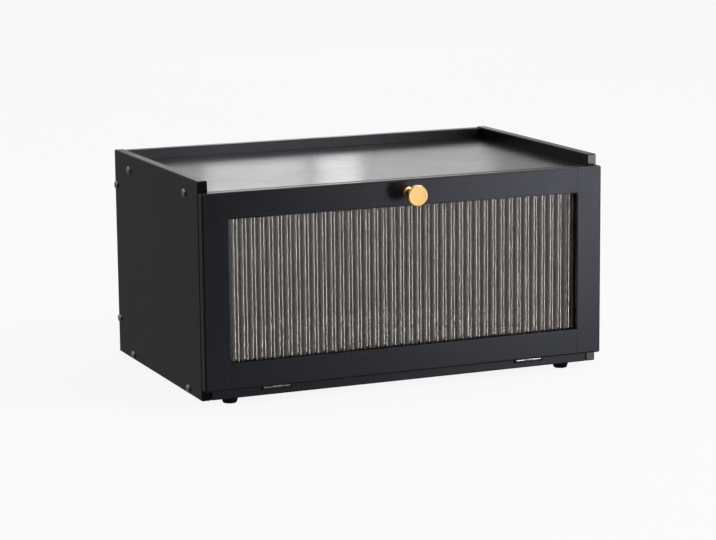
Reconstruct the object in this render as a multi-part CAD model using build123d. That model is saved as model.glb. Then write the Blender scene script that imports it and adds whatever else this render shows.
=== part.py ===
from build123d import *
import math
import os

# A counter-top bread box. The front faces -Y and +Z is up. The origin is under the middle of the whole
# object, knob included, on the surface that the feet stand on. All sizes are in millimetres.

# Case
case_width = 400.0          # over both side panels
case_depth = 240.0          # side panels, front to back
side_height = 200.0         # side panels, without the feet
board = 9.5                 # thickness of the case's boards
tray_depth = 10.0           # rim of the top tray above the top board
back_drop = 0.6             # back panel's top edge below the side panels'
edge_ease = 0.8             # bevel along the boards' edges

# Air vents, one row through the back panel
vent_diameter = 8.0
vent_count = 5
vent_spacing = 30.0
vent_drop = 45.0            # row below the side panels' top edge

# Button-head screws through the side panels
front_screw_inset = 36.0    # from the case's front
rear_screw_inset = 44.0     # from the case's back
back_screw_inset = 34.0     # from the side panels' lower and upper edges
screw_diameter = 4.0
screw_length = 30.0         # under the head
screw_head_diameter = 7.8
screw_head_height = 2.3
screw_shoulder_diameter = 6.8   # where the head's side turns over into its crown
screw_shoulder_height = 1.4
screw_crown_diameter = 4.4
socket_width = 2.5          # hex socket, across flats
socket_depth = 1.3

# Rubber feet and their screws
foot_height = 6.0
foot_top_diameter = 16.4
foot_bottom_diameter = 13.0
foot_side_inset = 31.0      # from the side panels' outer faces
foot_front_inset = 12.0
foot_back_inset = 22.0
foot_screw_diameter = 3.0
foot_screw_head_diameter = 6.0
foot_screw_head_height = 1.8
foot_screw_sink = 3.0       # recess for the head
foot_screw_bite = 7.5       # length in the bottom board

# Door frame
door_thickness = 9.5
door_gap = 1.0              # between the door and the case's front
door_lift = 0.5             # door's lower edge above the bottom board's upper face
stile_width = 25.0
rail_height = 24.5
door_corner_round = 2.0     # corners of the door's outline
door_edge_round = 1.5       # front edge
door_back_ease = 0.8        # bevel along the back edge
window_edge_round = 0.5
tenon_length = 15.0
tenon_thickness = 3.2
tenon_shoulder = 3.0

# Fluted window and its beads
lip = 4.5                   # door's face to the pane
rebate_width = 6.0
pane_thickness = 2.5        # over the flutes
flute_pitch = 8.6
flute_depth = 1.2
bead_round = 0.6
brad_width = 1.2            # along the bead
brad_thickness = 1.0
brad_length = 10.0
brad_inset = 30.0           # from a bead's end

# Knob and its screw
knob_reach = 22.0           # door's face to the knob's face
knob_diameter = 19.6
knob_rim = 3.0              # thickness at the rim
knob_chamfer = 0.8
knob_neck_diameter = 7.6
knob_foot_diameter = 10.0
knob_flare = 2.0            # taper between neck and rim
knob_hole_depth = 10.0
knob_screw_diameter = 4.0
knob_screw_head_diameter = 9.0
knob_screw_head_height = 2.0
knob_screw_tip_air = 1.0    # left at the bottom of the knob's hole
knob_screw_sink = 2.4       # counterbore in the door's back

# Magnetic catches
catch_inset = 45.0          # from the case's sides
catch_diameter = 6.0
magnet_length = 5.0         # in the top board's front edge
strike_length = 3.0         # in the door's back
catch_air = 0.2             # between magnet and strike with the door closed

# Butt hinges
hinge_inset = 72.0          # hinge's middle from the case's sides
hinge_width = 26.0
hinge_notch_width = 30.0    # notch in the bottom board's front edge
knuckle_diameter = 4.0
knuckle_count = 3
knuckle_gap = 0.2
hinge_pin_diameter = 1.8
hinge_pin_end = 0.5         # past the last knuckle
leaf_length = 16.0          # from the pin's axis
leaf_thickness = 1.0
leaf_corner_round = 1.5
leaf_screw_reach = 10.0     # from the pin's axis
leaf_screw_spacing = 14.0
leaf_screw_head_diameter = 4.2
leaf_screw_diameter = 2.4
leaf_screw_length = 5.0
cross_width = 0.6           # cross recess of the small screws
cross_depth = 0.6

# The small round pieces that repeat, and their holes, are drawn with flat sides
slim_sides = 12

# Clearances
hole_play = 0.2             # a screw in a plain hole, on the radius
thread_play = 0.05          # a screw, pin or magnet in its own hole, on the radius
running_play = 0.05         # hinge pin in its knuckles, on the radius
seat_play = 0.1             # a tenon, leaf or tip in its seat
pane_play = 0.5             # the pane inside its rebate, each side
swing_play = 0.4            # round the knuckles

# Planes that the pieces share
total_depth = knob_reach + door_thickness + door_gap + case_depth
y_back = total_depth / 2
y_case = y_back - case_depth
y_door_back = y_case - door_gap
y_door = y_door_back - door_thickness
z_base = foot_height
z_floor = z_base + board
z_rim = z_base + side_height
z_tray = z_rim - tray_depth
z_door = z_floor + door_lift
x_side = case_width / 2
x_inner = x_side - board
y_back_inner = y_back - board

x_window = x_side - stile_width
z_window_low = z_door + rail_height
z_window_high = z_tray - rail_height
x_rebate = x_window + rebate_width
z_rebate_low = z_window_low - rebate_width
z_rebate_high = z_window_high + rebate_width
y_pane = y_door + lip
y_bead = y_pane + pane_thickness

knuckle_radius = knuckle_diameter / 2
y_pin = y_case
z_pin = z_floor - knuckle_radius
z_knob = z_tray - rail_height / 2
z_catch = z_tray - board / 2
hinge_places = (hinge_inset - x_side, x_side - hinge_inset)
catch_places = (catch_inset - x_side, x_side - catch_inset)
magnet_stand = door_gap - catch_air

# Turns that point a piece made upright, head up, in another direction
TO_FRONT = Rot(X=90)
TO_BACK = Rot(X=-90)
TO_LEFT = Rot(Y=-90)
TO_RIGHT = Rot(Y=90)
UPSIDE_DOWN = Rot(X=180)
ONTO_DOOR = Rot(X=90) * Rot(Y=180)      # stands a leaf that lies in the floor against the door's back


def block(x_range, y_range, z_range):
    """A box between two corners."""
    ranges = (x_range, y_range, z_range)
    size = [high - low for low, high in ranges]
    middle = [(low + high) / 2 for low, high in ranges]
    return Pos(*middle) * Box(*size)


def eased_board(x_range, y_range, z_range):
    """A board with all its edges eased."""
    return chamfer(block(x_range, y_range, z_range).edges(), edge_ease)


def rod(radius, low, high):
    """An upright cylinder between two heights."""
    return Pos(0, 0, (low + high) / 2) * Cylinder(radius, high - low)


def slim(diameter, low, high, top_diameter=None):
    """A small upright shank, head, plug or hole between two heights, tapered to a top diameter if given."""
    outline = Pos(0, 0, low) * RegularPolygon(diameter / 2, slim_sides)
    if top_diameter is None:
        return extrude(outline, high - low)
    drawn_in = (diameter - top_diameter) / 2 * math.cos(math.pi / slim_sides)
    return extrude(outline, high - low, taper=math.degrees(math.atan2(drawn_in, high - low)))


def turned(points):
    """A solid of revolution about Z, from its outline as (radius, height) points."""
    outline = Polyline(*[(r, 0, z) for r, z in points], close=True)
    return revolve(make_face(outline), Axis.Z)


def cross_recess(width, top):
    """Two crossed slots as wide as a screw's head allows, cut down from its top."""
    bars = [(width, cross_width), (cross_width, width)]
    return [Pos(0, 0, top) * Box(length, depth, 2 * cross_depth) for length, depth in bars]


def flat_screw(diameter, length, head_diameter, head_height):
    """A screw whose flat crossed head stands on height zero, with its shank below."""
    screw = slim(head_diameter, 0, head_height) + slim(diameter, -length, 0)
    return screw - cross_recess(diameter, head_height)


def countersunk_screw(play=0.0):
    """A leaf screw without its cross, its face at height zero, or its hole when grown by a play."""
    head = leaf_screw_head_diameter + 2 * play
    shank = leaf_screw_diameter + 2 * play
    neck = (leaf_screw_diameter - leaf_screw_head_diameter) / 2
    return slim(shank, -leaf_screw_length - play, neck) + UPSIDE_DOWN * slim(head, 0, -neck, shank)


def side_screw_spots():
    """Middles of the side screws, as (y, z), in the ends of the three cross boards."""
    rows = [(y, z) for z in (z_base + board / 2, z_tray - board / 2)
            for y in (y_case + front_screw_inset, y_back - rear_screw_inset)]
    column = [(y_back - board / 2, z) for z in (z_base + back_screw_inset, z_rim - back_screw_inset)]
    return rows + column


def foot_spots():
    """Middles of the four feet."""
    x_foot = x_side - foot_side_inset
    return [(x, y) for y in (y_case + foot_front_inset, y_back - foot_back_inset) for x in (-x_foot, x_foot)]


def pilot_holes():
    """Holes for the side screws in the cross boards' ends, as deep as the screws reach."""
    depth = screw_length - board + seat_play
    drill = slim(screw_diameter + 2 * thread_play, -depth, board)
    left = [Pos(-x_inner, y, z) * TO_LEFT * drill for y, z in side_screw_spots()]
    right = [Pos(x_inner, y, z) * TO_RIGHT * drill for y, z in side_screw_spots()]
    return left + right


def side_panel(side):
    """The left (-1) or right (+1) side panel, drilled for its six screws."""
    x_range = sorted((side * x_inner, side * x_side))
    panel = eased_board(x_range, (y_case, y_back), (z_base, z_rim))
    drill = TO_RIGHT * slim(screw_diameter + 2 * hole_play, -2 * board, board)
    return panel - [Pos(side * x_side, y, z) * drill for y, z in side_screw_spots()]


def top_board():
    """The tray's floor, with a magnet hole near each end of its front edge."""
    plank = eased_board((-x_inner, x_inner), (y_case, y_back_inner), (z_tray - board, z_tray))
    depth = magnet_length - magnet_stand + seat_play
    drill = slim(catch_diameter + 2 * thread_play, -depth, board)
    magnets = [Pos(x, y_case, z_catch) * TO_FRONT * drill for x in catch_places]
    return plank - pilot_holes() - magnets


def bottom_board():
    """The floor, notched at its front edge for the knuckles and cut down for the hinge leaves."""
    plank = eased_board((-x_inner, x_inner), (y_case, y_back_inner), (z_base, z_floor))
    half = hinge_notch_width / 2
    reach = knuckle_radius + swing_play
    over = z_floor + board
    cuts = []
    for x in hinge_places:
        cuts.append(block((x - half, x + half), (y_case - board, y_pin + reach), (z_pin - reach, over)))
        cuts.append(block((x - half, x + half), (y_case, y_pin + leaf_length + seat_play),
                          (z_pin - knuckle_radius, over)))
        cuts += [Pos(x, y_pin, z_pin) * hole for hole in leaf_screw_holes()]
    drill = slim(foot_screw_diameter + 2 * thread_play, 0, z_base + foot_screw_bite + seat_play)
    feet = [Pos(x, y, 0) * drill for x, y in foot_spots()]
    return plank - pilot_holes() - cuts - feet


def back_panel():
    """The back, with its row of air vents."""
    panel = eased_board((-x_inner, x_inner), (y_back_inner, y_back), (z_base, z_rim - back_drop))
    first = -(vent_count - 1) * vent_spacing / 2
    drill = TO_BACK * Cylinder(vent_diameter / 2, 4 * board)
    vents = [Pos(first + i * vent_spacing, y_back, z_rim - vent_drop) * drill for i in range(vent_count)]
    return panel - pilot_holes() - vents


def side_screws():
    """The twelve button-head screws, their socketed heads proud of the side panels."""
    screw = slim(screw_diameter, -screw_length, 0)
    screw += slim(screw_head_diameter, 0, screw_shoulder_height, screw_shoulder_diameter)
    screw += slim(screw_shoulder_diameter, screw_shoulder_height, screw_head_height, screw_crown_diameter)
    socket = RegularPolygon(socket_width / 2, 6, major_radius=False)
    screw -= Pos(0, 0, screw_head_height - socket_depth) * extrude(socket, 2 * socket_depth)
    left = [Pos(-x_side, y, z) * TO_LEFT * screw for y, z in side_screw_spots()]
    right = [Pos(x_side, y, z) * TO_RIGHT * screw for y, z in side_screw_spots()]
    return left + right


def feet():
    """Four tapered rubber feet, each recessed from below for its screw."""
    low_edge = (foot_bottom_diameter / 2, 0)
    high_edge = (foot_top_diameter / 2, foot_height)
    foot = turned([(0, 0), low_edge, high_edge, (0, foot_height)])
    foot -= slim(foot_screw_diameter + 2 * hole_play, 0, z_base)
    foot -= slim(foot_screw_head_diameter + 2 * hole_play, 0, foot_screw_sink)
    return [Pos(x, y, 0) * foot for x, y in foot_spots()]


def foot_screws():
    """The four screws that hold the feet, driven up into the bottom board."""
    length = z_base - foot_screw_sink + foot_screw_bite
    screw = flat_screw(foot_screw_diameter, length, foot_screw_head_diameter, foot_screw_head_height)
    return [Pos(x, y, foot_screw_sink) * UPSIDE_DOWN * screw for x, y in foot_spots()]


def hinge_leaf(first_knuckle):
    """A leaf that lies along +Y from the pin's axis, its back face tangent under the knuckles.

    It carries every second knuckle from the given one, and steps back from the other leaf's knuckles.
    """
    left = -hinge_width / 2
    step = hinge_width / knuckle_count
    low = -knuckle_radius
    clear = knuckle_radius + swing_play
    plate = block((left, -left), (clear, leaf_length), (low, low + leaf_thickness))
    corners = plate.edges().filter_by(Axis.Z).group_by(Axis.Y)[-1]
    leaf = fillet(corners, leaf_corner_round)
    for i in range(first_knuckle, knuckle_count, 2):
        start = left + i * step + knuckle_gap / 2
        end = left + (i + 1) * step - knuckle_gap / 2
        leaf += TO_RIGHT * rod(knuckle_radius, start, end)
        leaf += block((start, end), (0, clear), (low, low + leaf_thickness))
    leaf -= TO_RIGHT * Cylinder(hinge_pin_diameter / 2 + running_play, 2 * hinge_width)
    return leaf - leaf_screw_holes()


def leaf_screw_spots():
    """Places of a leaf's two screws, on its upper face."""
    face = leaf_thickness - knuckle_radius
    return [Pos(side * leaf_screw_spacing / 2, leaf_screw_reach, face) for side in (-1, 1)]


def leaf_screws():
    """The two screws of a leaf."""
    screw = countersunk_screw() - cross_recess(leaf_screw_diameter, 0)
    return [spot * screw for spot in leaf_screw_spots()]


def leaf_screw_holes():
    """Holes for a leaf's screws, open above its upper face."""
    hole = countersunk_screw(thread_play) + slim(leaf_screw_head_diameter + 2 * thread_play, 0, board)
    return [spot * hole for spot in leaf_screw_spots()]


def magnets_and_strikes():
    """Round magnets in the top board's front edge and steel strikes in the door's back."""
    magnet = slim(catch_diameter, magnet_stand - magnet_length, magnet_stand)
    strike = slim(catch_diameter, -strike_length, 0)
    magnets = [Pos(x, y_case, z_catch) * TO_FRONT * magnet for x in catch_places]
    strikes = [Pos(x, y_door_back, z_catch) * TO_BACK * strike for x in catch_places]
    return magnets, strikes


def door_slab():
    """The door frame in one piece: its rounded outline, the window and the rebate round it."""
    slab = block((-x_side, x_side), (y_door, y_door_back), (z_door, z_tray))
    slab = fillet(slab.edges().filter_by(Axis.Y), door_corner_round)
    slab = fillet(slab.faces().sort_by(Axis.Y)[0].edges(), door_edge_round)
    slab = chamfer(slab.faces().sort_by(Axis.Y)[-1].edges(), door_back_ease)
    through = (y_door - board, y_door_back + board)
    slab -= block((-x_window, x_window), through, (z_window_low, z_window_high))
    slab = fillet(slab.faces().sort_by(Axis.Y)[0].inner_wires()[0].edges(), window_edge_round)
    return slab - block((-x_rebate, x_rebate), (y_pane, y_door_back + board), (z_rebate_low, z_rebate_high))


def door_seats():
    """What is cut from the door's back: the strikes' holes, the knob screw's and the hinge leaves' seats."""
    strike_drill = slim(catch_diameter + 2 * thread_play, -strike_length - seat_play, board)
    cuts = [Pos(x, y_door_back, z_catch) * TO_BACK * strike_drill for x in catch_places]
    knob_drill = slim(knob_screw_diameter + 2 * hole_play, -2 * door_thickness, board)
    knob_drill += slim(knob_screw_head_diameter + 2 * hole_play, -knob_screw_sink, board)
    cuts.append(Pos(0, y_door_back, z_knob) * TO_BACK * knob_drill)
    half = hinge_width / 2 + seat_play
    for x in hinge_places:
        cuts.append(block((x - half, x + half), (y_pin - knuckle_radius, y_case),
                          (z_door - board, z_pin + leaf_length + seat_play)))
        cuts += [Pos(x, y_pin, z_pin) * ONTO_DOOR * hole for hole in leaf_screw_holes()]
    return cuts


def tenons(play=0.0):
    """The rails' four tenons, or the stiles' mortises when grown by a play."""
    y_middle = y_door + door_thickness / 2
    y_range = (y_middle - tenon_thickness / 2 - play, y_middle + tenon_thickness / 2 + play)
    root = x_window - play
    tip = x_window + tenon_length + play
    low = (z_door + tenon_shoulder - play, z_rebate_low - tenon_shoulder + play)
    high = (z_rebate_high + tenon_shoulder - play, z_tray - tenon_shoulder + play)
    return {(rail, side): block(sorted((side * root, side * tip)), y_range, z_range)
            for rail, z_range in (("bottom", low), ("top", high)) for side in (-1, 1)}


def door_frame():
    """Two stiles and two rails with stub tenons, cut from one blank so that their faces run on."""
    blank = door_slab() - door_seats()
    tongues = tenons()
    sockets = tenons(seat_play)
    y_range = (y_door - board, y_door_back + board)
    z_range = (z_door - board, z_tray + board)
    z_middle = (z_door + z_tray) / 2
    pieces = {}
    for rail, rail_range in (("bottom", (z_range[0], z_middle)), ("top", (z_middle, z_range[1]))):
        bar = blank & block((-x_window, x_window), y_range, rail_range)
        pieces[f"door_{rail}_rail"] = bar + tongues[rail, -1] + tongues[rail, 1]
    for name, side in (("left", -1), ("right", 1)):
        x_range = sorted((side * x_window, side * (x_side + board)))
        bar = blank & block(x_range, y_range, z_range)
        pieces[f"door_{name}_stile"] = bar - sockets["bottom", side] - sockets["top", side]
    return pieces


def window_pane():
    """A clear pane whose face is a row of upright convex flutes, with flat margins under the frame's lip."""
    half = x_rebate - pane_play
    count = min(math.ceil(2 * x_window / flute_pitch), math.floor(2 * half / flute_pitch))
    first = -count * flute_pitch / 2
    y_valley = y_pane + flute_depth
    outline = Polyline((-first, y_valley), (half, y_valley), (half, y_bead), (-half, y_bead),
                       (-half, y_valley), (first, y_valley))
    for i in range(count):
        start = first + i * flute_pitch
        crest = (start + flute_pitch / 2, y_pane)
        outline += ThreePointArc((start, y_valley), crest, (start + flute_pitch, y_valley))
    low = z_rebate_low + pane_play
    high = z_rebate_high - pane_play
    return Pos(0, 0, low) * extrude(make_face(outline), high - low)


def glazing_beads():
    """Four thin beads that hold the pane in its rebate, flush with the door's back."""
    y_range = (y_bead, y_door_back)
    long_range = (seat_play - x_rebate, x_rebate - seat_play)
    upright_range = (z_window_low, z_window_high)
    beads = {
        "window_top_bead": block(long_range, y_range, (z_window_high, z_rebate_high - seat_play)),
        "window_bottom_bead": block(long_range, y_range, (z_rebate_low + seat_play, z_window_low)),
        "window_left_bead": block((seat_play - x_rebate, -x_window), y_range, upright_range),
        "window_right_bead": block((x_window, x_rebate - seat_play), y_range, upright_range),
    }
    for name, bead in beads.items():
        along, across = (Axis.X, Axis.Z) if "top" in name or "bottom" in name else (Axis.Z, Axis.X)
        inner = 0 if name in ("window_top_bead", "window_right_bead") else -1
        back_edges = bead.faces().sort_by(Axis.Y)[-1].edges().filter_by(along)
        beads[name] = fillet(back_edges.sort_by(across)[inner], bead_round)
    return beads


def brad_spots():
    """Places of the brads, heads facing the middle of the window."""
    y = (y_bead + y_door_back) / 2
    far_x = x_window - brad_inset
    far_z = (z_window_high - z_window_low) / 2 - brad_inset
    z_middle = (z_window_high + z_window_low) / 2
    spots = []
    for x in (-far_x, -far_x / 3, far_x / 3, far_x):
        spots += [Pos(x, y, z_window_high) * UPSIDE_DOWN, Pos(x, y, z_window_low)]
    for z in (z_middle - far_z, z_middle + far_z):
        spots += [Pos(-x_window, y, z) * TO_RIGHT * Rot(Z=90), Pos(x_window, y, z) * TO_LEFT * Rot(Z=90)]
    return spots


def bead_brads():
    """Fine square-cut brads driven through the beads into the frame, from inside the window opening."""
    x_half, y_half = brad_width / 2, brad_thickness / 2
    brad = block((-x_half, x_half), (-y_half, y_half), (-brad_length, 0))
    return [spot * brad for spot in brad_spots()]


def brad_holes(shape):
    """The shape, pierced for the brads."""
    x_half, y_half = brad_width / 2 + thread_play, brad_thickness / 2 + thread_play
    hole = block((-x_half, x_half), (-y_half, y_half), (-brad_length - seat_play, brad_width))
    return shape - [spot * hole for spot in brad_spots()]


def knob():
    """A turned knob: a flat bevelled disc on a neck that spreads at both ends."""
    rim = knob_diameter / 2
    neck = knob_neck_diameter / 2
    foot = knob_foot_diameter / 2
    under = knob_reach - knob_rim
    body = turned([(0, 0), (foot, 0), (neck, foot - neck), (neck, under - knob_flare),
                   (neck + knob_flare, under), (rim, under), (rim, knob_reach - knob_chamfer),
                   (rim - knob_chamfer, knob_reach), (0, knob_reach)])
    body -= slim(knob_screw_diameter + 2 * thread_play, 0, knob_hole_depth)
    return Pos(0, y_door, z_knob) * TO_FRONT * body


def knob_screw():
    """The wide-headed screw that holds the knob from inside, its head in a counterbore."""
    y_head = y_door_back - knob_screw_sink
    length = y_head - y_door + knob_hole_depth - knob_screw_tip_air
    screw = flat_screw(knob_screw_diameter, length, knob_screw_head_diameter, knob_screw_head_height)
    return Pos(0, y_head, z_knob) * TO_BACK * screw


def hinges():
    """Both hinges: the case's leaves lie in the bottom board, the door's leaves stand in the door's back."""
    half = hinge_width / 2 + hinge_pin_end
    pin = TO_RIGHT * rod(hinge_pin_diameter / 2, -half, half)
    case_leaf = hinge_leaf(0)
    door_leaf = ONTO_DOOR * hinge_leaf(knuckle_count % 2)
    pin_lines = [Pos(x, y_pin, z_pin) for x in hinge_places]
    return {
        "case_leaves": [line * case_leaf for line in pin_lines],
        "door_leaves": [line * door_leaf for line in pin_lines],
        "hinge_pins": [line * pin for line in pin_lines],
        "case_leaf_screws": [line * screw for line in pin_lines for screw in leaf_screws()],
        "door_leaf_screws": [line * ONTO_DOOR * screw for line in pin_lines for screw in leaf_screws()],
    }


def all_pieces():
    """Every node of the model, by name."""
    magnets, strikes = magnets_and_strikes()
    pieces = {
        "left_side_panel": side_panel(-1),
        "right_side_panel": side_panel(1),
        "top_board": top_board(),
        "bottom_board": bottom_board(),
        "back_panel": back_panel(),
        "side_screws": side_screws(),
        "feet": feet(),
        "foot_screws": foot_screws(),
        "catch_magnets": magnets,
        "catch_strikes": strikes,
        "window_pane": window_pane(),
        "bead_brads": bead_brads(),
        "knob": knob(),
        "knob_screw": knob_screw(),
    }
    pieces.update({name: brad_holes(bead) for name, bead in glazing_beads().items()})
    pieces.update({name: brad_holes(bar) for name, bar in door_frame().items()})
    pieces.update(hinges())
    return pieces


os.makedirs("parts", exist_ok=True)
for node, piece in all_pieces().items():
    shape = Compound(children=piece) if isinstance(piece, list) else piece
    export_step(shape, f"parts/{node}.step")
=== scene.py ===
import math

import bmesh
import bpy
from mathutils import Matrix, Vector


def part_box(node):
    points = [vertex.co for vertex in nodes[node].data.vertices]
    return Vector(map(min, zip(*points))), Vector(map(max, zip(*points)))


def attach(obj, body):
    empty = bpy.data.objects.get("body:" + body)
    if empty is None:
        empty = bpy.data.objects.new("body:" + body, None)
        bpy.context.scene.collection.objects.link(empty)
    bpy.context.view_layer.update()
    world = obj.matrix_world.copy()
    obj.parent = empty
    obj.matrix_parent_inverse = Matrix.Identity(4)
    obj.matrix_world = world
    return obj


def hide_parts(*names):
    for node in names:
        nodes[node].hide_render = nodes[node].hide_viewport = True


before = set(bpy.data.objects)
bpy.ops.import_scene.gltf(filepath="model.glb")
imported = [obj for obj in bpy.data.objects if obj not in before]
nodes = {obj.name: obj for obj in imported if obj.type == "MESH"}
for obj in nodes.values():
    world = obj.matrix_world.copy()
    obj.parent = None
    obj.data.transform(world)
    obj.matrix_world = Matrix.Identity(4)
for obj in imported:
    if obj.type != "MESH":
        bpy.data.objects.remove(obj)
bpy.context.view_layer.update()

# Planes of the CAD part that several pieces share, in metres
X_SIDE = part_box("right_side_panel")[1].x
Y_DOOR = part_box("door_top_rail")[0].y
Y_CASE, Y_BACK = (corner.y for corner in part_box("left_side_panel"))
Z_BASE, Z_RIM = (corner.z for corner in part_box("left_side_panel"))
Z_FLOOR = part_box("bottom_board")[1].z


def middle(node):
    """The middle of a CAD node's box."""
    low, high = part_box(node)
    return (low + high) / 2


Z_KNOB = middle("knob").z

# Turns of a piece that was made standing upright
UPRIGHT = (0, 0, 0)
UPSIDE_DOWN = (math.pi, 0, 0)
TO_FRONT = (math.pi / 2, 0, 0)
TO_BACK = (-math.pi / 2, 0, 0)
TO_LEFT = (0, -math.pi / 2, 0)
TO_RIGHT = (0, math.pi / 2, 0)

# Distances within which points of a shell, or of the flutes' edges, count as one, in metres
SHELL_GAP = 1e-6
FLUTE_GAP = 1e-5


# Modelling by hand, step by step

def let_go():
    """Leaves edit mode with nothing selected."""
    if bpy.context.mode != "OBJECT":
        bpy.ops.object.mode_set(mode="OBJECT")
    bpy.ops.object.select_all(action="DESELECT")


def take(piece):
    """Selects one piece and makes it the active one."""
    let_go()
    piece.select_set(True)
    bpy.context.view_layer.objects.active = piece


def name_it(name):
    """Names the active piece and its mesh."""
    piece = bpy.context.object
    piece.name = name
    piece.data.name = name
    return piece


def start_from_point(name, spot):
    """Makes a piece of a single vertex at a spot, selected in edit mode."""
    let_go()
    bpy.ops.mesh.primitive_plane_add(size=0.001)
    piece = name_it(name)
    bpy.ops.object.mode_set(mode="EDIT")
    bpy.ops.mesh.select_mode(type="VERT")
    bpy.ops.mesh.select_all(action="SELECT")
    bpy.ops.mesh.merge(type="CENTER")
    bpy.ops.transform.translate(value=spot)
    return piece


def draw_out(step):
    """In edit mode, extrudes what is selected by a step."""
    bpy.ops.mesh.extrude_region_move(TRANSFORM_OT_translate={"value": step})


def pick_faces(piece, test):
    """In edit mode, selects just the faces whose normal passes the test."""
    shape = bmesh.from_edit_mesh(piece.data)
    bpy.ops.mesh.select_mode(type="FACE")
    bpy.ops.mesh.select_all(action="DESELECT")
    for face in shape.faces:
        face.select_set(test(face.normal))
    bmesh.update_edit_mesh(piece.data)


def pick_edges(piece, test):
    """In edit mode, selects just the edges whose middle passes the test."""
    shape = bmesh.from_edit_mesh(piece.data)
    bpy.ops.mesh.select_mode(type="EDGE")
    bpy.ops.mesh.select_all(action="DESELECT")
    for edge in shape.edges:
        edge.select_set(test((edge.verts[0].co + edge.verts[1].co) / 2))
    bmesh.update_edit_mesh(piece.data)


def close_shell():
    """In edit mode, merges double points, points every face outwards and goes back to object mode."""
    bpy.ops.mesh.select_all(action="SELECT")
    bpy.ops.mesh.remove_doubles(threshold=SHELL_GAP)
    bpy.ops.mesh.normals_make_consistent(inside=False)
    bpy.ops.object.mode_set(mode="OBJECT")


def apply_modifier(piece, kind, **settings):
    """Adds one modifier to a piece and applies it."""
    take(piece)
    modifier = piece.modifiers.new(kind.title(), kind)
    for key, value in settings.items():
        setattr(modifier, key, value)
    bpy.ops.object.modifier_apply(modifier=modifier.name)


def smooth(piece, angle=40):
    """Shades a piece smooth, but for the edges sharper than an angle in degrees."""
    take(piece)
    bpy.ops.object.shade_smooth_by_angle(angle=math.radians(angle))


def round_edges(piece, width, angle=30):
    """Rounds the edges sharper than an angle in degrees, then shades the piece smooth."""
    apply_modifier(piece, "BEVEL", width=width, segments=2, limit_method="ANGLE",
                   angle_limit=math.radians(angle), harden_normals=False)
    smooth(piece)


def put(piece, turn, spot):
    """Turns and moves a piece, and leaves its place in its mesh."""
    take(piece)
    piece.rotation_euler = turn
    piece.location = spot
    bpy.ops.object.transform_apply(location=True, rotation=True, scale=True)


def lathe(name, outline, steps):
    """Extrudes one vertex along an outline of (radius, height) points, then spins it about Z."""
    piece = start_from_point(name, (outline[0][0], 0, outline[0][1]))
    for (r0, z0), (r1, z1) in zip(outline, outline[1:]):
        draw_out((r1 - r0, 0, z1 - z0))
    bpy.ops.mesh.select_all(action="SELECT")
    bpy.ops.mesh.spin(steps=steps, angle=2 * math.pi, center=(0, 0, 0), axis=(0, 0, 1))
    close_shell()
    return piece


def arc(centre, radius, start, end, steps):
    """Points of a circle's arc in the (radius, height) plane, angles in degrees from outwards."""
    turns = [math.radians(start + (end - start) * i / steps) for i in range(steps + 1)]
    return [(centre[0] + radius * math.cos(t), centre[1] + radius * math.sin(t)) for t in turns]


def cut_away(piece, cutter):
    """Cuts one closed piece out of another and deletes it."""
    apply_modifier(piece, "BOOLEAN", operation="DIFFERENCE", object=cutter, solver="EXACT")
    bpy.data.objects.remove(cutter)


def cross_cutter(span, width, depth, top):
    """Two crossed bars, narrower at their lower ends, that cut a cross recess down from a height."""
    narrowing, downwards = 0.55, -0.9
    bars = []
    for turn in (0, math.pi / 2):
        let_go()
        bpy.ops.mesh.primitive_cube_add(size=1)
        bar = bpy.context.object
        bar.scale = (span, width, 2 * depth)
        put(bar, (0, 0, turn), (0, 0, top))
        bpy.ops.object.mode_set(mode="EDIT")
        pick_faces(bar, lambda normal: normal.z < downwards)
        bpy.ops.transform.resize(value=(narrowing, narrowing, 1), center_override=(0, 0, top))
        bpy.ops.object.mode_set(mode="OBJECT")
        bars.append(bar)
    apply_modifier(bars[1], "BOOLEAN", operation="UNION", object=bars[0], solver="EXACT")
    bpy.data.objects.remove(bars[0])
    return bars[1]


def hex_cutter(across_flats, low, high):
    """An upright hexagonal bar that cuts a hex socket."""
    let_go()
    bpy.ops.mesh.primitive_cylinder_add(vertices=6, radius=across_flats / math.sqrt(3), depth=high - low)
    bar = bpy.context.object
    put(bar, UPRIGHT, (0, 0, (low + high) / 2))
    return bar


def cross_head(name, outline, steps, span, width, depth, angle=40):
    """A turned screw with a cross recess in the top of its head."""
    screw = lathe(name, outline, steps)
    cut_away(screw, cross_cutter(span, width, depth, top=outline[-1][1]))
    smooth(screw, angle)
    return screw


def fit(piece, body, node, finish):
    """Dresses a piece and lets it ride on a body in the place of one CAD node."""
    dress(piece, finish)
    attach(piece, body)
    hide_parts(node)


def set_out(piece, places, body, node, finish):
    """Copies a piece to every place, each copy with its own mesh, and deletes the first one."""
    for number, (turn, spot) in enumerate(places, 1):
        take(piece)
        bpy.ops.object.duplicate(linked=False)
        copy = bpy.context.object
        put(copy, turn, spot)
        copy.name = f"{piece.name}_{number:02d}"
        fit(copy, body, node, finish)
    bpy.data.objects.remove(piece)


# Finishes

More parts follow.
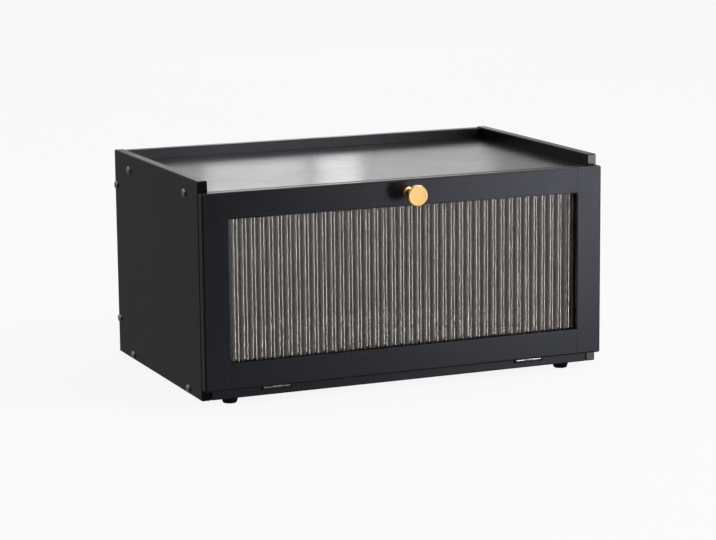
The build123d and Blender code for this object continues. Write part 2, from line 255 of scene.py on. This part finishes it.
class Wiring:
    """The shader nodes of one material or world, with short ways to add and join them."""

    def __init__(self, owner):
        owner.use_nodes = True
        self.tree = owner.node_tree
        self.tree.nodes.clear()

    def node(self, kind, **settings):
        made = self.tree.nodes.new(kind)
        for key, value in settings.items():
            setattr(made, key, value)
        return made

    def join(self, source, target):
        self.tree.links.new(source, target)

    def spread(self, source, low, high, start=0.3, end=0.7, interpolation="LINEAR"):
        """Maps a value's range from start to end onto the range from low to high."""
        made = self.node("ShaderNodeMapRange", interpolation_type=interpolation)
        for key, value in (("From Min", start), ("From Max", end), ("To Min", low), ("To Max", high)):
            made.inputs[key].default_value = value
        self.join(source, made.inputs["Value"])
        return made.outputs["Result"]

    def combine(self, first, second, operation="ADD"):
        """Adds two values, or combines them by another operation. Each is a number or an output."""
        made = self.node("ShaderNodeMath", operation=operation)
        for socket, value in zip(made.inputs, (first, second)):
            if isinstance(value, (int, float)):
                socket.default_value = value
            else:
                self.join(value, socket)
        return made.outputs[0]


class Finish(Wiring):
    """A material with one Principled shader, and patterns in Object coordinates."""

    def __init__(self, name):
        self.material = bpy.data.materials.new(name)
        super().__init__(self.material)
        self.shader = self.node("ShaderNodeBsdfPrincipled")
        self.output = self.node("ShaderNodeOutputMaterial")
        self.join(self.shader.outputs[0], self.output.inputs["Surface"])
        self.place = self.node("ShaderNodeTexCoord").outputs["Object"]

    def set(self, **values):
        """Sets inputs of the Principled shader, their spaces written as underscores."""
        for key, value in values.items():
            self.shader.inputs[key.replace("_", " ")].default_value = value

    def placed(self, scale, shift):
        """The Object coordinates, scaled and shifted."""
        mapping = self.node("ShaderNodeMapping")
        mapping.inputs["Scale"].default_value = scale
        mapping.inputs["Location"].default_value = shift
        self.join(self.place, mapping.inputs["Vector"])
        return mapping.outputs["Vector"]

    def noise(self, per_metre, stretch=(1, 1, 1), detail=3.0, roughness=0.55, shift=(0, 0, 0)):
        """A noise pattern of so many features per metre, lengthened along each axis by the stretch."""
        pattern = self.node("ShaderNodeTexNoise")
        pattern.inputs["Scale"].default_value = 1.0
        pattern.inputs["Detail"].default_value = detail
        pattern.inputs["Roughness"].default_value = roughness
        self.join(self.placed([per_metre / s for s in stretch], shift), pattern.inputs["Vector"])
        return pattern.outputs["Fac"]

    def colour(self, factor, first, second):
        """Colours the surface by mixing two colours by a pattern."""
        mix = self.node("ShaderNodeMix", data_type="RGBA")
        colours = [socket for socket in mix.inputs if socket.type == "RGBA"]
        colours[0].default_value = (*first, 1)
        colours[1].default_value = (*second, 1)
        self.join(factor, mix.inputs["Factor"])
        mixed = next(socket for socket in mix.outputs if socket.type == "RGBA")
        self.join(mixed, self.shader.inputs["Base Color"])

    def rough(self, source):
        self.join(source, self.shader.inputs["Roughness"])

    def bump(self, source, height, strength, soften=0.0):
        """Raises the surface by a pattern, and rounds sharp edges over a small radius."""
        relief = self.node("ShaderNodeBump")
        relief.inputs["Strength"].default_value = strength
        relief.inputs["Distance"].default_value = height
        self.join(source, relief.inputs["Height"])
        if soften:
            edge = self.node("ShaderNodeBevel", samples=6)
            edge.inputs["Radius"].default_value = soften
            self.join(edge.outputs["Normal"], relief.inputs["Normal"])
        self.join(relief.outputs["Normal"], self.shader.inputs["Normal"])

    def give_way(self, factor, other):
        """Lets another shader take the Principled one's place, as far as a factor says."""
        mix = self.node("ShaderNodeMixShader")
        self.join(factor, mix.inputs[0])
        self.join(self.shader.outputs[0], mix.inputs[1])
        self.join(other.outputs[0], mix.inputs[2])
        self.join(mix.outputs[0], self.output.inputs["Surface"])


def painted_wood(name, along, gloss=0.28, sway=0):
    """Satin black paint over fine straight grain along one axis, with brush sway if one is given."""
    dark, light = (0.0052, 0.0056, 0.0066), (0.0072, 0.0077, 0.0090)
    relief_height, relief_strength, edge_radius = 0.000005, 0.5, 0.0004

    def stretch(length):
        return [length if axis == along else 1.0 for axis in "XYZ"]

    f = Finish(name)
    streaks = f.noise(620, stretch(38), detail=4, roughness=0.6)
    bands = f.noise(95, stretch(14), detail=2, shift=(3, 5, 7))
    pores = f.noise(1500, stretch(22), detail=2, shift=(9, 2, 4))
    clouds = f.noise(14, detail=2)
    f.colour(f.spread(f.combine(streaks, bands, "MULTIPLY"), 0, 1, start=0.12, end=0.4), dark, light)
    f.rough(f.combine(f.spread(clouds, gloss - 0.02, gloss + 0.02), f.spread(streaks, -0.01, 0.01)))
    relief = f.combine(f.spread(streaks, 0, 0.5), f.spread(bands, 0, 0.3))
    relief = f.combine(relief, f.spread(pores, 0, 0.35, start=0.55, end=0.75), "SUBTRACT")
    if sway:
        swayed = f.noise(200, stretch(7), detail=2, shift=(2, 6, 1))
        relief = f.combine(relief, f.spread(swayed, 0, sway))
    f.bump(relief, relief_height, relief_strength, edge_radius)
    f.set(IOR=1.45)
    return f.material


def satin_brass(name):
    """Smooth lacquered brass with very faint turned rings and soft patches."""
    deep, pale = (0.92, 0.575, 0.235), (0.95, 0.60, 0.255)
    ring_scale, ring_wobble, ring_height, ring_strength = 700, 0.4, 0.000002, 0.2
    f = Finish(name)
    rings = f.node("ShaderNodeTexWave", wave_type="RINGS", rings_direction="SPHERICAL")
    rings.inputs["Scale"].default_value = ring_scale
    rings.inputs["Distortion"].default_value = ring_wobble
    f.join(f.placed(scale=(1, 0.05, 1), shift=(0, 0, -Z_KNOB)), rings.inputs["Vector"])
    patches = f.noise(140, detail=2)
    f.colour(f.spread(patches, 0, 1), deep, pale)
    ring_roughness = f.spread(rings.outputs["Fac"], -0.01, 0.01, start=0, end=1)
    f.rough(f.combine(f.spread(patches, 0.20, 0.24), ring_roughness))
    f.bump(rings.outputs["Fac"], ring_height, ring_strength)
    f.set(Metallic=1.0)
    return f.material


def fluted_acrylic(name):
    """Clear hard-coated plastic with a trace of warm tint and faint haze, and a light shadow."""
    warm, pale, shadow_tint = (0.90, 0.87, 0.83), (0.95, 0.93, 0.90), (0.9, 0.89, 0.87)
    f = Finish(name)
    haze = f.noise(60, stretch=(1, 1, 6), detail=3)
    f.colour(f.spread(haze, 0, 1), warm, pale)
    f.rough(f.spread(haze, 0.05, 0.07))
    f.set(IOR=1.49, Transmission_Weight=1.0)
    f.set(Coat_Weight=1.0, Coat_Roughness=0.14, Coat_IOR=1.6)
    clear = f.node("ShaderNodeBsdfTransparent")
    clear.inputs["Color"].default_value = (*shadow_tint, 1)
    f.give_way(f.node("ShaderNodeLightPath").outputs["Is Shadow Ray"], clear)
    return f.material


def plated_steel(name, dark, light, polished, handled, along=None, relief=0.00001):
    """Plated steel, brushed along an axis if one is given, and duller in patches where it was handled."""
    brush_length, brush_roughness, brush_strength = 30, 0.04, 0.3
    f = Finish(name)
    brushed = f.noise(1800, [brush_length if along == axis else 1 for axis in "XYZ"], detail=3)
    worn = f.noise(300, detail=2, shift=(1, 4, 2))
    f.colour(f.spread(worn, 0, 1), dark, light)
    streaks = f.spread(brushed, -brush_roughness, brush_roughness)
    f.rough(f.combine(f.spread(worn, polished, handled), streaks))
    f.bump(brushed, relief, brush_strength)
    f.set(Metallic=1.0)
    return f.material


def moulded_rubber(name):
    """Matt black rubber with a fine moulded grain and dusty patches."""
    black, dusty = (0.004, 0.004, 0.004), (0.010, 0.0095, 0.009)
    f = Finish(name)
    grain = f.noise(2600, detail=2)
    dust = f.noise(180, detail=3)
    f.colour(f.spread(dust, 0, 1), black, dusty)
    f.rough(f.spread(dust, 0.62, 0.82))
    f.bump(grain, height=0.00005, strength=0.5)
    f.set(Specular_IOR_Level=0.25)
    return f.material


finishes = {
    "window_acrylic": fluted_acrylic("fluted_acrylic"),
    "knob_brass": satin_brass("satin_brass"),
    "foot_rubber": moulded_rubber("moulded_rubber"),
    "hinge_steel": plated_steel("hinge_plating", (0.54, 0.53, 0.52), (0.64, 0.63, 0.62),
                                polished=0.16, handled=0.22, along="X", relief=0.000003),
    "dark_steel": plated_steel("screw_plating", (0.46, 0.445, 0.42), (0.60, 0.58, 0.55),
                               polished=0.22, handled=0.30),
    "zinc_steel": plated_steel("zinc_plating", (0.50, 0.50, 0.50), (0.62, 0.61, 0.58),
                               polished=0.30, handled=0.42),
    "catch_nickel": plated_steel("catch_plating", (0.60, 0.58, 0.55), (0.72, 0.70, 0.67),
                                 polished=0.16, handled=0.26),
}
boards_along = {
    "X": ["bottom_board", "back_panel", "door_top_rail", "door_bottom_rail", "window_top_bead",
          "window_bottom_bead"],
    "Z": ["left_side_panel", "right_side_panel", "door_left_stile", "door_right_stile",
          "window_left_bead", "window_right_bead"],
}


def dress(piece, finish):
    """Gives a piece one finish, looked up by its slot's name."""
    piece.data.materials.clear()
    piece.data.materials.append(finishes[finish])


def dress_node(name, material):
    """Gives a CAD node that stays as it is a new material in its own slot."""
    nodes[name].material_slots[0].material = material


def dress_boards_and_hinges():
    """Paints every board along its grain, and plates the leaves, pins and brads."""
    for axis, boards in boards_along.items():
        paint = painted_wood(f"black_paint_grain_{axis.lower()}", axis)
        for board in boards:
            dress_node(board, paint)
    dress_node("top_board", painted_wood("black_paint_tray", "X", gloss=0.17, sway=26))
    for name in ("case_leaves", "door_leaves", "hinge_pins"):
        dress_node(name, finishes["hinge_steel"])
    dress_node("bead_brads", finishes["zinc_steel"])


# The knob and its screw

def make_knob():
    """A rounded disc on a waisted neck, its face very slightly dished."""
    low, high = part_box("knob")
    reach = Y_DOOR - low.y
    rim = (high.x - low.x) / 2
    thickness, front_round, back_round = 0.0030, 0.0009, 0.0006
    neck, flare = 0.0038, 0.0020
    foot, foot_round, foot_height = 0.0050, 0.0004, 0.0009
    waist_radius, waist_height = foot + 0.0006, 0.0025
    dish, dish_rim, dish_middle = 0.0001, 0.0016, 0.0035
    under = reach - thickness
    outline = [(0, 0), (foot - foot_round, 0), (foot, foot_round), (foot, foot_height)]
    outline += arc((waist_radius, waist_height), waist_radius - neck, 260, 180, 8)
    outline += arc((neck + flare, under - flare), flare, 180, 90, 10)
    outline += arc((rim - back_round, under + back_round), back_round, 270, 360, 4)
    outline += arc((rim - front_round, reach - front_round), front_round, 0, 90, 6)
    outline += [(rim - dish_rim, reach - dish / 2), (dish_middle, reach - dish), (0, reach - dish)]
    knob = lathe("knob_turned", outline, steps=96)
    smooth(knob, angle=35)
    put(knob, TO_FRONT, (0, Y_DOOR, Z_KNOB))
    fit(knob, "door", "knob", "knob_brass")


def make_knob_screw():
    """A pan-head screw with a cross recess, its head in the door's back."""
    shank, length, head, rise = 0.0020, 0.0155, 0.0045, 0.0020
    edge, shoulder, crown = 0.0008, (head - 0.0004, 0.0014), (head - 0.0020, rise - 0.0001)
    outline = [(0, -length), (shank, -length), (shank, 0), (head, 0), (head, edge), shoulder, crown,
               (0, rise)]
    screw = cross_head("knob_screw_headed", outline, 48, span=0.0050, width=0.0011, depth=0.0013)
    put(screw, TO_BACK, (0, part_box("knob_screw")[1].y - rise, Z_KNOB))
    fit(screw, "door", "knob_screw", "zinc_steel")


# The window

def make_window():
    """A clear sheet whose face is a row of upright round flutes, with a flat rim at both ends."""
    count, pitch, depth, steps = 41, 0.0086, 0.0012, 24
    low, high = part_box("window_pane")
    radius = ((pitch / 2) ** 2 + depth ** 2) / (2 * depth)
    turn = 2 * math.asin(pitch / 2 / radius)
    first = -count * pitch / 2
    pane = start_from_point("window_fluted", (first, low.y + depth, low.z))
    draw_out((0, 0, high.z - low.z))
    bpy.ops.mesh.select_all(action="SELECT")
    bpy.ops.mesh.spin(steps=steps, angle=-turn, center=(first + pitch / 2, low.y + radius, low.z),
                      axis=(0, 0, 1))
    bpy.ops.object.mode_set(mode="OBJECT")
    apply_modifier(pane, "ARRAY", count=count, use_relative_offset=False, use_constant_offset=True,
                   constant_offset_displace=(pitch, 0, 0), use_merge_vertices=True,
                   merge_threshold=FLUTE_GAP)
    take(pane)
    bpy.ops.object.mode_set(mode="EDIT")
    for edge_x, step in ((first, low.x - first), (-first, high.x + first)):
        pick_edges(pane, lambda spot: abs(spot.x - edge_x) < FLUTE_GAP)
        draw_out((step, 0, 0))
    bpy.ops.mesh.select_all(action="SELECT")
    draw_out((0, high.y - low.y, 0))
    bpy.ops.transform.resize(value=(1, 0, 1), center_override=(0, high.y, 0))
    close_shell()
    smooth(pane, angle=25)
    fit(pane, "door", "window_pane", "window_acrylic")


# Screws, feet and catches

def make_side_screws():
    """Domed heads with a hex socket, on short shanks in the side panels."""
    head, rise, rim, rim_round = 0.0039, 0.0023, 0.0004, 0.0002
    shank, length, seat = 0.0020, 0.0080, 0.0001
    socket, socket_depth, above = 0.0025, 0.0013, 0.0010
    dome_start, dome_end, dome_step = 8, 80, 9
    front_inset, rear_inset, back_inset = 0.036, 0.044, 0.034
    outline = [(0, -length), (shank, -length), (shank, -seat), (head - rim_round, 0), (head, rim_round)]
    for degrees in range(dome_start, dome_end + 1, dome_step):
        t = math.radians(degrees)
        outline.append((head * math.cos(t), rim + (rise - rim) * math.sin(t)))
    outline.append((0, rise))
    screw = lathe("side_screw", outline, steps=40)
    cut_away(screw, hex_cutter(socket, rise - socket_depth, rise + above))
    round_edges(screw, width=0.00012, angle=40)
    rows = middle("bottom_board").z, middle("top_board").z
    spots = [(y, z) for z in rows for y in (Y_CASE + front_inset, Y_BACK - rear_inset)]
    spots += [(middle("back_panel").y, z) for z in (Z_BASE + back_inset, Z_RIM - back_inset)]
    places = [(turn, (x, y, z)) for turn, x in ((TO_LEFT, -X_SIDE), (TO_RIGHT, X_SIDE)) for y, z in spots]
    set_out(screw, places, "case", "side_screws", "dark_steel")


def make_feet():
    """Tapered feet with softened rims, and a cross-head screw sunk in each."""
    top, bottom, height = 0.0082, 0.0065, Z_BASE
    hole, recess, sink, recess_round = 0.0017, 0.0032, 0.0030, 0.0003
    lower_rim = [(bottom - 0.0005, 0), (bottom, 0.0006)]
    upper_rim = [(top - 0.0001, height - 0.0004), (top - 0.0005, height)]
    side_inset, front_inset, back_inset = 0.031, 0.012, 0.022
    outline = [(recess, recess_round), (recess + recess_round, 0), *lower_rim, *upper_rim,
               (hole, height), (hole, sink), (recess, sink), (recess, recess_round)]
    foot = lathe("foot", outline, steps=48)
    smooth(foot)
    x_foot = X_SIDE - side_inset
    spots = [(x, y) for x in (-x_foot, x_foot) for y in (Y_CASE + front_inset, Y_BACK - back_inset)]
    set_out(foot, [(UPRIGHT, (x, y, 0)) for x, y in spots], "case", "feet", "foot_rubber")
    shank, tip, taper_end, length, head, rise = 0.0015, 0.0014, 0.0005, 0.0090, 0.0030, 0.0018
    edge, shoulder, crown = rise / 2, (head - 0.0006, rise - 0.0003), (head - 0.0017, rise)
    outline = [(0, -length), (tip, -length), (shank, -taper_end), (shank, 0), (head, 0), (head, edge),
               shoulder, crown, (0, rise)]
    screw = cross_head("foot_screw", outline, 32, span=0.0034, width=0.0008, depth=0.0009)
    set_out(screw, [(UPSIDE_DOWN, (x, y, sink)) for x, y in spots], "case", "foot_screws", "zinc_steel")


def make_leaf_screws():
    """Countersunk cross-head screws, flush with the leaves, two in each leaf."""
    shank, length, head, cone, crown, crown_rim = 0.0012, 0.0048, 0.0021, 0.0009, 0.00003, 0.0002
    hinge_inset, half_spacing, reach = 0.072, 0.007, 0.010
    knuckle_radius, leaf_thickness = 0.002, 0.001
    z_pin, face = Z_FLOOR - knuckle_radius, leaf_thickness - knuckle_radius
    outline = [(0, -length), (shank, -length), (shank, -cone), (head, 0), (head - crown_rim, crown),
               (0, crown)]
    x_hinge = X_SIDE - hinge_inset
    columns = [x + side * half_spacing for x in (-x_hinge, x_hinge) for side in (-1, 1)]
    on_case = [(UPRIGHT, (x, Y_CASE + reach, z_pin + face)) for x in columns]
    on_door = [(TO_BACK, (x, Y_CASE + face, z_pin + reach)) for x in columns]
    for name, places, body in (("case_leaf_screw", on_case, "case"), ("door_leaf_screw", on_door, "door")):
        screw = cross_head(name, outline, 32, span=0.0026, width=0.0006, depth=0.0008, angle=35)
        set_out(screw, places, body, f"{name}s", "hinge_steel")


def make_catches():
    """Round magnets in the case and strikes in the door, with softened rims."""
    inset, radius, rim_round = 0.045, 0.0030, 0.0003
    magnet_length, strike_length = 0.005, 0.003
    y_magnet, y_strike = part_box("catch_magnets")[0].y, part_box("catch_strikes")[1].y
    x_catch = X_SIDE - inset
    for name, body, turn, y, length in (("catch_magnet", "case", TO_FRONT, y_magnet, magnet_length),
                                        ("catch_strike", "door", TO_BACK, y_strike, strike_length)):
        plug = lathe(name, [(0, -length), (radius, -length), (radius, 0), (0, 0)], steps=48)
        round_edges(plug, rim_round)
        places = [(turn, (x, y, middle("top_board").z)) for x in (-x_catch, x_catch)]
        set_out(plug, places, body, f"{name}s", "catch_nickel")


dress_boards_and_hinges()
make_knob()
make_window()
make_side_screws()
make_feet()
make_leaf_screws()
make_knob_screw()
make_catches()


# Studio: floor, world, lamps and camera

BOX_MIDDLE = (0, 0, 0.1)
WHITE = (1, 1, 1)


def make_floor():
    """A pale ground, nearly white to the camera, that shows only a faint shadow under the box."""
    width, grey, whiteness = 40, 0.82, 0.9
    let_go()
    bpy.ops.mesh.primitive_plane_add(size=width)
    floor = name_it("floor")
    floor.visible_glossy = False
    floor.visible_shadow = False
    f = Finish("pale_floor")
    f.set(Base_Color=(grey, grey, grey, 1), Roughness=0.9)
    white = f.node("ShaderNodeEmission")
    white.inputs["Strength"].default_value = 1.0
    to_camera = f.node("ShaderNodeLightPath").outputs["Is Camera Ray"]
    f.give_way(f.combine(to_camera, whiteness, "MULTIPLY"), white)
    floor.data.materials.append(f.material)


def make_world():
    """White to the camera, an even light on matt surfaces, and a dim sky in reflections.

    The sky seen in reflections and through the window is lighter overhead and behind the box.
    """
    matt_light = 0.48
    world = bpy.data.worlds.new("studio")
    bpy.context.scene.world = world
    w = Wiring(world)
    world.cycles.sampling_method = "NONE"
    path = w.node("ShaderNodeLightPath").outputs
    split = w.node("ShaderNodeSeparateXYZ")
    w.join(w.node("ShaderNodeTexCoord").outputs["Generated"], split.inputs[0])
    y, z = split.outputs["Y"], split.outputs["Z"]
    horizon = w.spread(z, 0.16, 0.28, start=-0.12, end=0.04, interpolation="SMOOTHSTEP")
    behind = w.spread(y, 0.3, 1.0, start=-0.5, end=0.3, interpolation="SMOOTHSTEP")
    overhead = w.spread(z, 0.0, 0.6, start=0.1, end=0.9, interpolation="SMOOTHSTEP")
    sky = w.combine(w.combine(horizon, behind, "MULTIPLY"), overhead, "MAXIMUM")
    mirrored = w.combine(w.combine(path["Is Glossy Ray"], path["Is Transmission Ray"]), 1.0, "MINIMUM")
    matt = w.combine(1.0, w.combine(mirrored, path["Is Camera Ray"], "MAXIMUM"), "SUBTRACT")
    light = w.combine(w.combine(mirrored, sky, "MULTIPLY"), w.combine(matt, matt_light, "MULTIPLY"))
    background = w.node("ShaderNodeBackground")
    background.inputs["Color"].default_value = (*WHITE, 1)
    w.join(w.combine(path["Is Camera Ray"], light), background.inputs["Strength"])
    w.join(background.outputs[0], w.node("ShaderNodeOutputWorld").inputs["Surface"])


def lamp(name, spot, aim, width, height, power, tone):
    """A rectangular lamp at a spot, turned to an aim."""
    data = bpy.data.lights.new(name, "AREA")
    data.shape = "RECTANGLE"
    data.color = tone
    data.size, data.size_y, data.energy = width, height, power
    made = bpy.data.objects.new(name, data)
    bpy.context.scene.collection.objects.link(made)
    made.location = spot
    made.rotation_euler = (Vector(aim) - Vector(spot)).to_track_quat("-Z", "Y").to_euler()
    return made


def light_pieces(made, state, pieces):
    """Lets a lamp light only some pieces (INCLUDE) or all but those (EXCLUDE)."""
    group = bpy.data.collections.new(f"{made.name}_pieces")
    for piece in pieces:
        group.objects.link(nodes.get(piece) or bpy.data.objects[piece])
    for member in group.collection_objects:
        member.light_linking.link_state = state
    made.light_linking.receiver_collection = group


def mirrored_lamp(name, spot, aim, width, height, glow, tone, state, pieces):
    """A lamp that only glossy surfaces show. Its glow is the brightness of its face."""
    made = lamp(name, spot, aim, width, height, glow * math.pi * width * height, tone)
    made.visible_diffuse = False
    light_pieces(made, state, pieces)


def around(azimuth, distance, height):
    """A spot at an angle in degrees to the right of straight ahead of the door."""
    a = math.radians(azimuth)
    return distance * math.sin(a), -distance * math.cos(a), height


def strip(name, azimuth, glow):
    """A narrow upright lamp, seen as one line in each flute of the window and nowhere else."""
    width, distance, low, high = 0.2, 2.2, -0.6, 0.02
    warm_white = (1.0, 0.95, 0.91)
    z = (low + high) / 2
    mirrored_lamp(name, around(azimuth, distance, z), (0, 0, z), width, high - low, glow, warm_white,
                  "INCLUDE", ["window_fluted"])


def panel(name, y, across, up, glow, tone, state, pieces):
    """An upright lamp panel in front of or behind the box, given by its edges across and up."""
    left, right = across
    low, high = up
    x, z = (left + right) / 2, (low + high) / 2
    mirrored_lamp(name, (x, y, z), (x, 0, z), right - left, high - low, glow, tone, state, pieces)


def light_key():
    """The main lamp, high on the right, for everything but the window."""
    side, power = 0.6, 30
    key = lamp("key", around(azimuth=50, distance=2.2, height=1.9), BOX_MIDDLE, side, side, power,
               WHITE)
    light_pieces(key, "EXCLUDE", ["window_fluted"])


def light_window():
    """Two strips that draw a pair of lines in each flute."""
    strip("left_strip", azimuth=-15, glow=9.5)
    strip("right_strip", azimuth=63, glow=11)


def light_front():
    """Panels that grade the black paint from left to right, and a dim one for the window's ground.

    Those that light the same piece stand on planes of their own, because lamps that overlap on one plane
    hide each other.
    """
    left_out = ["window_fluted", "knob_turned", "left_side_panel"]
    panel("door_panel", y=-2.2, across=(1.0, 2.4), up=(-0.45, 0.4), glow=3.9, tone=(0.92, 0.95, 1.10),
          state="EXCLUDE", pieces=left_out)
    panel("low_panel", y=-2.3, across=(0.3, 1.15), up=(-1.0, -0.4), glow=0.5, tone=(0.88, 0.94, 1.12),
          state="EXCLUDE", pieces=left_out)
    panel("back_rim_panel", y=-2.25, across=(0.6, 0.98), up=(0.3, 1.1), glow=8.0, tone=(0.94, 0.96, 1.06),
          state="INCLUDE", pieces=["back_panel", "top_board"])
    panel("rim_end_panel", y=-2.15, across=(1.0, 1.9), up=(-0.5, 0.3), glow=4.5, tone=WHITE,
          state="INCLUDE", pieces=["right_side_panel"])
    panel("window_panel", y=-2.2, across=(1.15, 2.6), up=(-0.8, 0.0), glow=0.6, tone=(1.0, 0.74, 0.62),
          state="INCLUDE", pieces=["window_fluted"])


def light_knob():
    """Three soft lamps, right, far right and above, that only the brass knob mirrors."""
    right = around(azimuth=50, distance=1.5, height=-0.15)
    far_right = around(azimuth=74, distance=1.5, height=0.1)
    above, knob_front = (0.36, -0.55, 1.25), (0, -0.13, 0.18)
    for name, spot, aim, width, height, glow in (("knob_light", right, BOX_MIDDLE, 2.1, 0.8, 1.15),
                                                 ("knob_rim_light", far_right, BOX_MIDDLE, 0.5, 1.2, 1.2),
                                                 ("knob_top_light", above, knob_front, 1.2, 1.2, 1.3)):
        mirrored_lamp(name, spot, aim, width, height, glow, WHITE, "INCLUDE", ["knob_turned"])


def light_tray():
    """A row of panels behind the box, whose reflections grade the tray's floor from left to right."""
    y, low, high = 3.0, -0.1, 2.0
    for letter, left, right, glow in (("a", 0.70, 0.89, 0.45), ("b", 0.905, 1.155, 1.2),
                                      ("c", 1.175, 1.29, 1.65), ("d", 1.305, 1.62, 0.76),
                                      ("e", 1.62, 2.10, 0.25)):
        panel(f"back_panel_{letter}", y, (left, right), (low, high), glow, WHITE, "EXCLUDE",
              ["window_fluted"])


def make_camera():
    """The photograph's camera. Its width and focal length are in pixels."""
    photo_width, focal_length, sensor_width = 716, 2494, 36.0
    spot = (-0.9259, -2.16901, 0.52585)
    ahead = Vector((0.38546, 0.90490, -0.18047)).normalized()
    roll = math.radians(-0.581)
    data = bpy.data.cameras.new("camera")
    data.sensor_width, data.lens = sensor_width, focal_length * sensor_width / photo_width
    camera = bpy.data.objects.new("camera", data)
    bpy.context.scene.collection.objects.link(camera)
    level = ahead.cross(Vector((0, 0, 1))).normalized()
    above = level.cross(ahead)
    side = level * math.cos(roll) + above * math.sin(roll)
    up = above * math.cos(roll) - level * math.sin(roll)
    camera.matrix_world = Matrix.Translation(spot) @ Matrix((side, up, -ahead)).transposed().to_4x4()
    bpy.context.scene.camera = camera


make_floor()
make_world()
light_key()
light_window()
light_front()
light_knob()
light_tray()
make_camera()
bpy.context.scene.view_settings.view_transform = "Standard"
